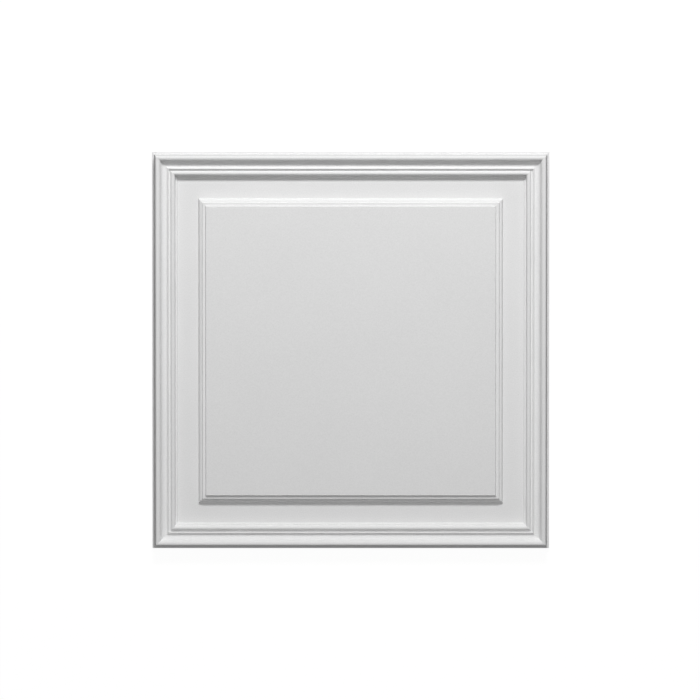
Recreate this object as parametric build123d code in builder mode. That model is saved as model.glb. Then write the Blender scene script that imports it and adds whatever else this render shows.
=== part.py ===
from build123d import *
import os

# A square decorative wall panel, moulded in one piece: a frame moulding runs round
# a flat margin, and a raised field stands in the middle. It lies on its flat back.
# The origin is the middle of the back, +Z points out of the face and +Y is its top.
# Lengths are in millimetres. The ogee's upper share is how much of it lies above its bend.

# Overall size
panel_width = 435.0
panel_height = 435.0
panel_depth = 17.0
margin_thickness = 5.2

# Frame moulding, from the outer edge inwards
edge_draft = 0.1
lip_height = 4.0
lip_width = 2.2
wall_draft = 1.1
nose_radius = 2.2
ogee_width = 9.0
ogee_drop = 7.0
ogee_upper_share = 0.4
cove_width = 2.75
cove_rise = 2.1
ridge_width = 0.7
quirk_draft = 0.2
quirk_depth = 2.1
quirk_width = 1.9
bead_radius = 2.5
bead_draft = 0.35
ledge_height = 1.0
ledge_width = 1.55
ledge_draft = 1.15

# Raised field, from its foot inwards
field_inset = 50.8
riser_draft = 0.1
riser_height = 0.7
ovolo_radius = 3.5
step_draft = 0.7
step_height = 2.15
field_ledge_width = 3.15


def beyond(point, inwards, upwards):
    """The section point that lies this far inwards and upwards of another."""
    return (point[0] + inwards, point[1] + upwards)


def section_plane(inset):
    """The upright plane across the left side, with its origin this far in from the edge."""
    return Plane.XZ.shift_origin((inset - panel_width / 2, 0, 0))


def outline(inset):
    """Corners of the closed path round the panel, from the middle of its left side."""
    x = panel_width / 2 - inset
    y = panel_height / 2 - inset
    return [(-x, 0), (-x, -y), (x, -y), (x, y), (-x, y)]


# Section points of the frame moulding
edge_foot = (0, 0)
lip_outer = (edge_draft, lip_height)
lip_inner = beyond(lip_outer, lip_width, 0)
nose_start = (lip_inner[0] + wall_draft, panel_depth - nose_radius)
crest = beyond(nose_start, nose_radius, nose_radius)
ogee_bend = beyond(crest, ogee_upper_share * ogee_width, -ogee_upper_share * ogee_drop)
cove_bottom = beyond(crest, ogee_width, -ogee_drop)
ridge_outer = beyond(cove_bottom, cove_width, cove_rise)
ridge_inner = beyond(ridge_outer, ridge_width, 0)
quirk_outer = beyond(ridge_inner, quirk_draft, -quirk_depth)
quirk_inner = beyond(quirk_outer, quirk_width, 0)
bead_top = beyond(quirk_inner, bead_radius, bead_radius)
bead_inner = beyond(bead_top, bead_radius, -bead_radius)
ledge_outer = (bead_inner[0] + bead_draft, margin_thickness + ledge_height)
ledge_inner = beyond(ledge_outer, ledge_width, 0)
margin_outer = (ledge_inner[0] + ledge_draft, margin_thickness)
frame_width = margin_outer[0]

# Section points of the raised field's edge
field_foot = (0, margin_thickness)
riser_top = beyond(field_foot, riser_draft, riser_height)
ovolo_top = beyond(riser_top, ovolo_radius, ovolo_radius)
ledge_foot = beyond(ovolo_top, step_draft, step_height)
ledge_end = beyond(ledge_foot, field_ledge_width, 0)
field_top = beyond(ledge_end, step_draft, step_height)
field_edge_width = field_top[0]

with BuildPart() as panel:
    # Plate inside the frame: the flat margin and what lies under the field
    with BuildSketch():
        Rectangle(panel_width - 2 * frame_width, panel_height - 2 * frame_width)
    extrude(amount=margin_thickness)

    # Frame moulding, mitred at the corners
    with BuildLine() as edge_path:
        Polyline(outline(0), close=True)
    with BuildSketch(section_plane(0)):
        with BuildLine():
            Polyline(edge_foot, lip_outer, lip_inner, nose_start)
            TangentArc(nose_start, crest, tangent=(0, 1))
            ogee = TangentArc(crest, ogee_bend, tangent=(1, 0))
            TangentArc(ogee_bend, cove_bottom, tangent=ogee % 1)
            TangentArc(cove_bottom, ridge_outer, tangent=(1, 0))
            Polyline(ridge_outer, ridge_inner, quirk_outer, quirk_inner)
            TangentArc(quirk_inner, bead_top, tangent=(0, 1))
            TangentArc(bead_top, bead_inner, tangent=(1, 0))
            Polyline(bead_inner, ledge_outer, ledge_inner, margin_outer)
            Polyline(margin_outer, (frame_width, 0), edge_foot)
        make_face()
    sweep(path=edge_path.line, transition=Transition.RIGHT)

    # Raised field: a stepped edge round a flat middle
    with BuildLine() as field_path:
        Polyline(outline(field_inset), close=True)
    with BuildSketch(section_plane(field_inset)):
        with BuildLine():
            Line(field_foot, riser_top)
            TangentArc(riser_top, ovolo_top, tangent=(0, 1))
            Polyline(ovolo_top, ledge_foot, ledge_end, field_top)
            Polyline(field_top, (field_edge_width, margin_thickness), field_foot)
        make_face()
    sweep(path=field_path.line, transition=Transition.RIGHT)

    field_middle_inset = field_inset + field_edge_width
    with BuildSketch(Plane.XY.offset(margin_thickness)):
        Rectangle(panel_width - 2 * field_middle_inset, panel_height - 2 * field_middle_inset)
    extrude(amount=field_top[1] - margin_thickness)

panel.part.label = "panel"
os.makedirs("parts", exist_ok=True)
export_step(panel.part, "parts/panel.step")
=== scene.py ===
import math

import bpy
import numpy as np
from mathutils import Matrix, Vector


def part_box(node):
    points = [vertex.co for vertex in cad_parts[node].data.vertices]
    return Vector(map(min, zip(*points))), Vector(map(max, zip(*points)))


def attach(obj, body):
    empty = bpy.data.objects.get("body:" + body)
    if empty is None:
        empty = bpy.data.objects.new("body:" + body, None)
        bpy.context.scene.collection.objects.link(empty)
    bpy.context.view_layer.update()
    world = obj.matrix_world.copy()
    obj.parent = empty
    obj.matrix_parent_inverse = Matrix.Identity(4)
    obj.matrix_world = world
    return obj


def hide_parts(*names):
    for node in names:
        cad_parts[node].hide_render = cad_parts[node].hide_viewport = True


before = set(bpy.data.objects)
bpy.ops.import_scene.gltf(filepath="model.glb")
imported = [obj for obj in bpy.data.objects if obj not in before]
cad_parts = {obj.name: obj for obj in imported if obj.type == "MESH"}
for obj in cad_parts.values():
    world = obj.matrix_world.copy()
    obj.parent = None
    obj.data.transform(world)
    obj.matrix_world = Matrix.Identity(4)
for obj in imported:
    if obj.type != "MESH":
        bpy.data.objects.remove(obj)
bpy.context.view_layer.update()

# The panel's overall size, from the frame. Lengths are in metres.
MM = 0.001
panel_low, panel_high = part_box("panel")
panel_width = panel_high.x - panel_low.x
panel_height = panel_high.y - panel_low.y
panel_depth = panel_high.z - panel_low.z
margin_thickness = 5.2 * MM

# Frame moulding, from the outer edge inwards. The upper share is what lies above the ogee's bend.
edge_draft = 0.1 * MM
lip_height = 4.0 * MM
lip_width = 2.2 * MM
wall_draft = 1.1 * MM
nose_radius = 2.2 * MM
ogee_width = 9.0 * MM
ogee_drop = 7.0 * MM
ogee_upper_share = 0.4
cove_width = 2.75 * MM
cove_rise = 2.1 * MM
ridge_width = 0.7 * MM
quirk_draft = 0.2 * MM
quirk_depth = 2.1 * MM
quirk_width = 1.9 * MM
bead_radius = 2.5 * MM
bead_draft = 0.35 * MM
ledge_height = 1.0 * MM
ledge_width = 1.55 * MM
ledge_draft = 1.15 * MM

# Raised field, from its foot inwards
field_inset = 50.8 * MM
riser_draft = 0.1 * MM
riser_height = 0.7 * MM
ovolo_radius = 3.5 * MM
step_draft = 0.7 * MM
step_height = 2.15 * MM
field_ledge_width = 3.15 * MM
field_rim_width = 1.0 * MM

# Softening of the section's corners. The reach share is the most of a straight that one takes up.
arris_radius = 0.2 * MM
arris_reach_share = 0.45
arris_steps = 3
smooth_half_angle = math.radians(80)

# How finely the mesh is cut, and how it is shaded
arc_steps = 10
side_steps = 40
sharp_angle = math.radians(40)
flat_face_weight = 100

# Primer. Scales are in waves or cells to the metre, a pinhole's size in cells.
noise_middle = (0.3, 0.7)
cloud_scale = 14.0
cloud_detail = 3.0
cloud_tones = (0.814, 0.826)
fine_detail = 2.0
speckle_scale = 760.0
speckle_tones = (0.97, 1.03)
pinhole_scale = 190.0
pinhole_size = 0.07
pinhole_free_share = 0.93
# Painted shade: how much the colour is darkened inside a pinhole
pinhole_painted_shade = 0.12
roughness_scale = 60.0
roughness_limits = (0.8, 0.92)
specular_level = 0.3
grain_scale = 950.0
swell_scale = 170.0
swell_detail = 1.0
swell_weight = 1.2
relief_strength = 0.4
relief_depth = 0.055 * MM

# Camera: it looks straight down on the face, a little from the panel's top
camera_distance = 12.0
camera_tilt = math.radians(4.0)
camera_aim = Vector((-0.0008, 0.0002, 0))
frame_span = 0.7676

# Light: a key lamp, and a fill that grows with the sky's height, from its foot to its level overhead
key_power = 40.0
key_size = 0.46
key_place = Vector((0.118, 1.75, 1.515))
fill_foot = 0.4
fill_level = 0.62
seen_sky_level = 1.0

# Floor: its paint as it lights the panel and as it is seen, and the white laid over the seen one
floor_reach = 30.0
floor_tone = 0.35
seen_floor_tone = 0.62
white_strength = 1.085
white_share = 0.88


def beyond(point, inwards, upwards):
    """The section point that lies this far inwards and upwards of another."""
    return (point[0] + inwards, point[1] + upwards)


def tangent_arc(start, end, tangent):
    """Points of the arc that leaves start along tangent and reaches end, without start."""
    start = np.array(start)
    chord = np.array(end) - start
    tangent = np.array(tangent) / np.linalg.norm(tangent)
    normal = np.array((-tangent[1], tangent[0]))
    centre = start + normal * (chord @ chord) / (2 * chord @ normal)
    spoke = start - centre
    turn = 2 * math.atan2(chord @ normal, chord @ tangent)
    points = []
    for step in range(1, arc_steps + 1):
        angle = turn * step / arc_steps
        x = spoke[0] * math.cos(angle) - spoke[1] * math.sin(angle)
        y = spoke[0] * math.sin(angle) + spoke[1] * math.cos(angle)
        points.append((centre[0] + x, centre[1] + y))
    return points


def softened(points):
    """The open section with a small curve in place of each sharp corner."""
    points = [np.array(point) for point in points]
    soft = [points[0]]
    for before, corner, after in zip(points, points[1:], points[2:]):
        back = before - corner
        ahead = after - corner
        back_length = np.linalg.norm(back)
        ahead_length = np.linalg.norm(ahead)
        back = back / back_length
        ahead = ahead / ahead_length
        half = math.acos(np.clip(back @ ahead, -1, 1)) / 2
        if half > smooth_half_angle:
            soft.append(corner)
            continue
        most = arris_reach_share * min(back_length, ahead_length)
        reach = min(arris_radius / math.tan(half), most)
        for step in range(arris_steps + 1):
            t = step / arris_steps
            soft.append(corner + reach * ((1 - t) ** 2 * back + t ** 2 * ahead))
    soft.append(points[-1])
    return soft


def panel_section():
    """Points of the section from the back edge to the flat of the field, as (inset, height)."""
    edge_foot = (0, 0)
    lip_outer = (edge_draft, lip_height)
    lip_inner = beyond(lip_outer, lip_width, 0)
    nose_start = (lip_inner[0] + wall_draft, panel_depth - nose_radius)
    crest = beyond(nose_start, nose_radius, nose_radius)
    ogee_bend = beyond(crest, ogee_upper_share * ogee_width, -ogee_upper_share * ogee_drop)
    cove_bottom = beyond(crest, ogee_width, -ogee_drop)
    ridge_outer = beyond(cove_bottom, cove_width, cove_rise)
    ridge_inner = beyond(ridge_outer, ridge_width, 0)
    quirk_outer = beyond(ridge_inner, quirk_draft, -quirk_depth)
    quirk_inner = beyond(quirk_outer, quirk_width, 0)
    bead_top = beyond(quirk_inner, bead_radius, bead_radius)
    bead_inner = beyond(bead_top, bead_radius, -bead_radius)
    ledge_outer = (bead_inner[0] + bead_draft, margin_thickness + ledge_height)
    ledge_inner = beyond(ledge_outer, ledge_width, 0)
    margin_outer = (ledge_inner[0] + ledge_draft, margin_thickness)
    field_foot = (field_inset, margin_thickness)
    riser_top = beyond(field_foot, riser_draft, riser_height)
    ovolo_top = beyond(riser_top, ovolo_radius, ovolo_radius)
    ledge_foot = beyond(ovolo_top, step_draft, step_height)
    ledge_end = beyond(ledge_foot, field_ledge_width, 0)
    field_top = beyond(ledge_end, step_draft, step_height)
    field_rim = beyond(field_top, field_rim_width, 0)

    points = [edge_foot, lip_outer, lip_inner, nose_start]
    points += tangent_arc(nose_start, crest, (0, 1))
    points += tangent_arc(crest, ogee_bend, (1, 0))
    # The ogee's lower arc is drawn from its foot to the bend, then turned round
    lower_ogee = tangent_arc(cove_bottom, ogee_bend, (-1, 0))
    points += lower_ogee[-2::-1] + [cove_bottom]
    points += tangent_arc(cove_bottom, ridge_outer, (1, 0))
    points += [ridge_inner, quirk_outer, quirk_inner]
    points += tangent_arc(quirk_inner, bead_top, (0, 1))
    points += tangent_arc(bead_top, bead_inner, (1, 0))
    points += [ledge_outer, ledge_inner, margin_outer, field_foot, riser_top]
    points += tangent_arc(riser_top, ovolo_top, (0, 1))
    points += [ledge_foot, ledge_end, field_top, field_rim]
    return softened(points)


def ring(inset, height):
    """Points round the panel at this inset, side by side from the lower left corner."""
    x = panel_width / 2 - inset
    y = panel_height / 2 - inset
    corners = [(-x, -y), (x, -y), (x, y), (-x, y)]
    points = []
    for start, end in zip(corners, corners[1:] + corners[:1]):
        for step in range(side_steps):
            t = step / side_steps
            along_x = start[0] + t * (end[0] - start[0])
            along_y = start[1] + t * (end[1] - start[1])
            points.append((along_x, along_y, height))
    return points


def fill_ring(vertices, first):
    """Faces of a square grid inside the ring that starts at this vertex. Its points are added."""
    n = side_steps
    low = vertices[first]
    high = vertices[first + 2 * n]
    index = {}
    for step in range(n):
        index[(step, 0)] = first + step
        index[(n, step)] = first + n + step
        index[(n - step, n)] = first + 2 * n + step
        index[(0, n - step)] = first + 3 * n + step
    for i in range(1, n):
        for j in range(1, n):
            index[(i, j)] = len(vertices)
            x = low[0] + (high[0] - low[0]) * i / n
            y = low[1] + (high[1] - low[1]) * j / n
            vertices.append((x, y, low[2]))
    faces = []
    for i in range(n):
        for j in range(n):
            corners = [(i, j), (i + 1, j), (i + 1, j + 1), (i, j + 1)]
            faces.append([index[corner] for corner in corners])
    return faces


def build_panel():
    """The whole panel as one closed mesh: rings along the section, and a grid on face and back."""
    section = panel_section()
    count = 4 * side_steps
    vertices = []
    for inset, height in section:
        vertices += ring(inset, height)
    ring_points = len(vertices)
    faces = []
    for level in range(len(section) - 1):
        for step in range(count):
            a = level * count + step
            b = level * count + (step + 1) % count
            faces.append((a, b, b + count, a + count))
    faces += [face[::-1] for face in fill_ring(vertices, 0)]
    faces += fill_ring(vertices, ring_points - count)

    mesh = bpy.data.meshes.new("panel_face")
    mesh.from_pydata(vertices, [], faces)
    mesh.shade_smooth()
    mesh.set_sharp_from_angle(angle=sharp_angle)
    # The mitres stay sharp
    for edge in mesh.edges:
        a, b = edge.vertices
        across_rings = max(a, b) < ring_points and abs(a - b) == count
        if across_rings and a % side_steps == 0:
            edge.use_edge_sharp = True
    panel = bpy.data.objects.new("panel_face", mesh)
    bpy.context.scene.collection.objects.link(panel)
    weighted = panel.modifiers.new("flat_faces", "WEIGHTED_NORMAL")
    weighted.keep_sharp = True
    weighted.weight = flat_face_weight
    return panel


def noise(tree, place, scale, detail):
    """Even noise of this many waves to the metre."""
    node = tree.nodes.new("ShaderNodeTexNoise")
    node.inputs["Scale"].default_value = scale
    node.inputs["Detail"].default_value = detail
    tree.links.new(place, node.inputs["Vector"])
    return node.outputs[0]


def spread(tree, value, limits):
    """The middle of a noise drawn out to run between these limits."""
    node = tree.nodes.new("ShaderNodeMapRange")
    node.inputs["From Min"].default_value = noise_middle[0]
    node.inputs["From Max"].default_value = noise_middle[1]
    node.inputs["To Min"].default_value = limits[0]
    node.inputs["To Max"].default_value = limits[1]
    tree.links.new(value, node.inputs["Value"])
    return node.outputs[0]


def joined(tree, operation, first, second):
    """Two values put together. The second may be a plain number."""
    node = tree.nodes.new("ShaderNodeMath")
    node.operation = operation
    tree.links.new(first, node.inputs[0])
    if isinstance(second, float):
        node.inputs[1].default_value = second
    else:
        tree.links.new(second, node.inputs[1])
    return node.outputs[0]


def pinhole_spots(tree, place):
    """One inside a pinhole, nothing elsewhere. Few cells have one."""
    cells = tree.nodes.new("ShaderNodeTexVoronoi")
    cells.inputs["Scale"].default_value = pinhole_scale
    tree.links.new(place, cells.inputs["Vector"])
    pick = tree.nodes.new("ShaderNodeSeparateColor")
    tree.links.new(cells.outputs["Color"], pick.inputs[0])
    rare = joined(tree, "GREATER_THAN", pick.outputs[0], pinhole_free_share)
    small = joined(tree, "LESS_THAN", cells.outputs["Distance"], pinhole_size)
    return joined(tree, "MULTIPLY", rare, small)


def primed_foam():
    """Matte white primer: a fine sprayed grain, faint clouds and a few pinholes, with painted shade
    inside the pinholes.
    """
    material = bpy.data.materials.new("primed_polyurethane")
    material.use_nodes = True
    tree = material.node_tree
    shader = tree.nodes["Principled BSDF"]
    place = tree.nodes.new("ShaderNodeTexCoord").outputs["Object"]

    clouds = spread(tree, noise(tree, place, cloud_scale, cloud_detail), cloud_tones)
    speckle = spread(tree, noise(tree, place, speckle_scale, fine_detail), speckle_tones)
    pinholes = pinhole_spots(tree, place)
    tone = joined(tree, "MULTIPLY", clouds, speckle)
    # Painted shade: the colour is darkened inside the pinholes
    painted_pinhole_shade = joined(tree, "MULTIPLY", pinholes, pinhole_painted_shade)
    tree.links.new(joined(tree, "SUBTRACT", tone, painted_pinhole_shade), shader.inputs["Base Color"])

    patches = noise(tree, place, roughness_scale, fine_detail)
    tree.links.new(spread(tree, patches, roughness_limits), shader.inputs["Roughness"])
    shader.inputs["Specular IOR Level"].default_value = specular_level

    grain = noise(tree, place, grain_scale, fine_detail)
    swell = joined(tree, "MULTIPLY", noise(tree, place, swell_scale, swell_detail), swell_weight)
    height = joined(tree, "SUBTRACT", joined(tree, "ADD", grain, swell), pinholes)
    bump = tree.nodes.new("ShaderNodeBump")
    bump.inputs["Strength"].default_value = relief_strength
    bump.inputs["Distance"].default_value = relief_depth
    tree.links.new(height, bump.inputs["Height"])
    tree.links.new(bump.outputs[0], shader.inputs["Normal"])
    return material


def seen_share(tree):
    """One for rays from the camera and for mirrored or refracted ones, nothing for the rest."""
    rays = tree.nodes.new("ShaderNodeLightPath")
    share = joined(tree, "MAXIMUM", rays.outputs["Is Camera Ray"], rays.outputs["Is Glossy Ray"])
    return joined(tree, "MAXIMUM", share, rays.outputs["Is Transmission Ray"])


def floor_paint():
    """Paint that looks white and shows the panel's shadow only faintly."""
    material = bpy.data.materials.new("floor")
    material.use_nodes = True
    tree = material.node_tree
    tree.nodes.clear()
    output = tree.nodes.new("ShaderNodeOutputMaterial")
    seen = seen_share(tree)
    paint = tree.nodes.new("ShaderNodeBsdfDiffuse")
    lift = joined(tree, "MULTIPLY", seen, seen_floor_tone - floor_tone)
    tree.links.new(joined(tree, "ADD", lift, floor_tone), paint.inputs["Color"])
    white = tree.nodes.new("ShaderNodeEmission")
    white.inputs["Strength"].default_value = white_strength
    mix = tree.nodes.new("ShaderNodeMixShader")
    tree.links.new(joined(tree, "MULTIPLY", seen, white_share), mix.inputs[0])
    tree.links.new(paint.outputs[0], mix.inputs[1])
    tree.links.new(white.outputs[0], mix.inputs[2])
    tree.links.new(mix.outputs[0], output.inputs[0])
    return material


def build_floor():
    """A plain level floor under the panel."""
    r = floor_reach
    corners = [(-r, -r, 0), (r, -r, 0), (r, r, 0), (-r, r, 0)]
    mesh = bpy.data.meshes.new("floor")
    mesh.from_pydata(corners, [], [(0, 1, 2, 3)])
    mesh.materials.append(floor_paint())
    floor = bpy.data.objects.new("floor", mesh)
    bpy.context.scene.collection.objects.link(floor)


def build_key():
    """A soft lamp beyond the panel's top edge, turned to the panel's middle."""
    lamp = bpy.data.lights.new("key", "AREA")
    lamp.shape = "DISK"
    lamp.energy = key_power
    lamp.size = key_size
    key = bpy.data.objects.new("key", lamp)
    bpy.context.scene.collection.objects.link(key)
    key.location = key_place
    key.rotation_mode = "QUATERNION"
    key.rotation_quaternion = (-key_place).to_track_quat("-Z", "Y")


def build_fill():
    """A weak fill from above, in a sky that is seen as white."""
    world = bpy.data.worlds.new("fill")
    world.use_nodes = True
    tree = world.node_tree
    background = tree.nodes["Background"]
    background.inputs["Color"].default_value = (1, 1, 1, 1)
    direction = tree.nodes.new("ShaderNodeTexCoord")
    split = tree.nodes.new("ShaderNodeSeparateXYZ")
    tree.links.new(direction.outputs["Generated"], split.inputs[0])
    height = tree.nodes.new("ShaderNodeMapRange")
    height.inputs["From Min"].default_value = fill_foot
    height.inputs["To Max"].default_value = fill_level
    tree.links.new(split.outputs["Z"], height.inputs["Value"])
    level = tree.nodes.new("ShaderNodeMix")
    level.inputs["B"].default_value = seen_sky_level
    tree.links.new(seen_share(tree), level.inputs["Factor"])
    tree.links.new(height.outputs[0], level.inputs["A"])
    tree.links.new(level.outputs["Result"], background.inputs["Strength"])
    bpy.context.scene.world = world


def build_camera():
    """A long lens over the face, leaning towards the panel's top edge."""
    data = bpy.data.cameras.new("camera")
    camera = bpy.data.objects.new("camera", data)
    bpy.context.scene.collection.objects.link(camera)
    data.lens = data.sensor_width * camera_distance / frame_span
    back = Vector((0, math.sin(camera_tilt), math.cos(camera_tilt)))
    camera.location = camera_aim + back * camera_distance
    camera.rotation_euler = (-camera_tilt, 0, 0)
    bpy.context.scene.camera = camera


panel = build_panel()
panel.data.materials.append(primed_foam())
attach(panel, "root")
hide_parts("panel")
build_floor()
build_key()
build_fill()
build_camera()
bpy.context.scene.view_settings.view_transform = "Standard"
